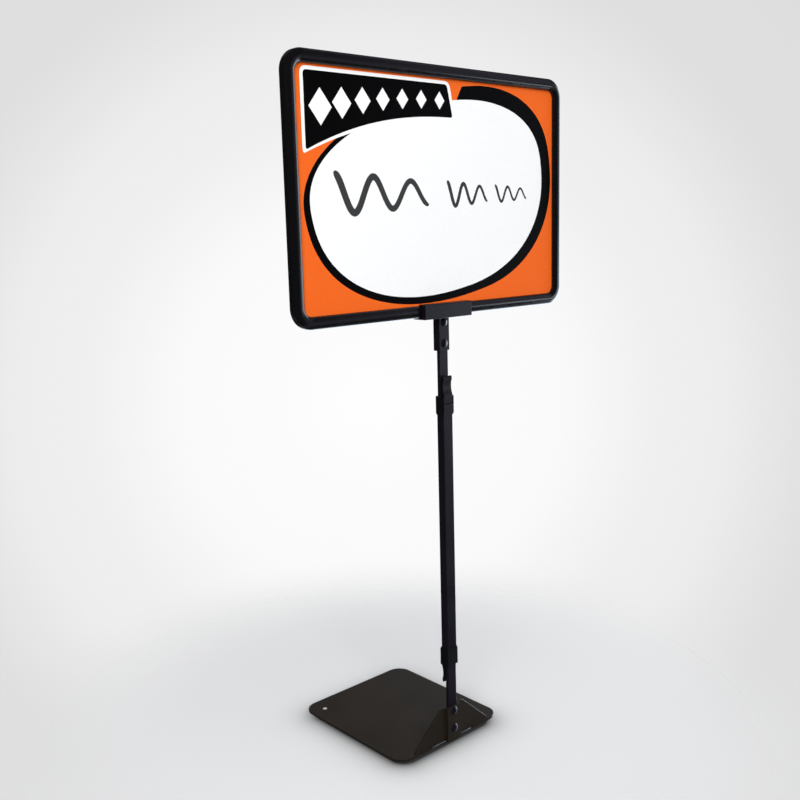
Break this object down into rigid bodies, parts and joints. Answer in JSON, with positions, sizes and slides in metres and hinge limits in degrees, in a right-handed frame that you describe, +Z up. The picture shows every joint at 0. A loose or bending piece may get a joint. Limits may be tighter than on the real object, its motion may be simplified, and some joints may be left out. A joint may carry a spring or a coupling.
{
  "type": "telescoping sign stand",
  "caption": "Sign stand: thin slide-under steel plate, telescoping flat-bar mast with brake levers, and a clamp that holds a landscape card frame.",
  "frame": {"origin": "centre of the base plate's underside", "axes": "+Z up along the mast, +X along the sign to the right of a reader, +Y to the back, where the plate slides under the goods"},
  "size_m": [0.294, 0.1391, 0.5588],
  "materials": {
    "base_steel": "semi-gloss black powder coat",
    "mast_steel": "semi-gloss black paint",
    "bracket_steel": "semi-gloss black paint",
    "clamp_steel": "gloss black paint",
    "rivet_steel": "gloss black paint over domed heads",
    "collar_plastic": "moulded, satin gloss",
    "lever_plastic": "moulded, satin gloss",
    "glide_plastic": "natural moulded plastic",
    "pin_steel": "plain turned pin",
    "spring_steel": "spring temper strip",
    "frame_plastic": "high gloss black moulding",
    "card_stock": "printed coated card"
  },
  "bodies": {
    "base": {"base_stand": "base_steel", "base_rivets": "rivet_steel", "lower_bar": "mast_steel", "lower_glide": "glide_plastic"},
    "mast": {"mast_tube": "mast_steel", "lower_collar": "collar_plastic", "lower_lever_pin": "pin_steel", "lower_brake_spring": "spring_steel", "upper_collar": "collar_plastic", "upper_lever_pin": "pin_steel", "upper_brake_spring": "spring_steel"},
    "lower_release": {"lower_lever": "lever_plastic"},
    "upper_release": {"upper_lever": "lever_plastic"},
    "head": {"upper_bar": "mast_steel", "upper_glide": "glide_plastic", "stem_bracket": "bracket_steel", "bracket_rivets": "rivet_steel", "frame_clamp": "clamp_steel", "sign_frame": "frame_plastic"},
    "card": {"sign_card": "card_stock"}
  },
  "joints": [
    {"name": "lower_slide", "type": "slide", "parent": "base", "child": "mast", "axis": [0, 0, 1], "range_m": [-0.018, 0.13]},
    {"name": "upper_slide", "type": "slide", "parent": "mast", "child": "head", "axis": [0, 0, 1], "range_m": [-0.018, 0.13]},
    {"name": "lower_lever_press", "type": "hinge", "parent": "mast", "child": "lower_release", "pos_m": [0, -0.0634, 0.0776], "axis": [-1, 0, 0], "range_deg": [0, 4], "stiffness_Nm_per_rad": 0.05, "springref_deg": -5.73},
    {"name": "upper_lever_press", "type": "hinge", "parent": "mast", "child": "upper_release", "pos_m": [0, -0.0666, 0.2933], "axis": [-1, 0, 0], "range_deg": [0, 4], "stiffness_Nm_per_rad": 0.05, "springref_deg": -5.73},
    {"name": "card_slide", "type": "slide", "parent": "head", "child": "card", "axis": [0, 0, 1], "range_m": [0, 0.18]}
  ]
}
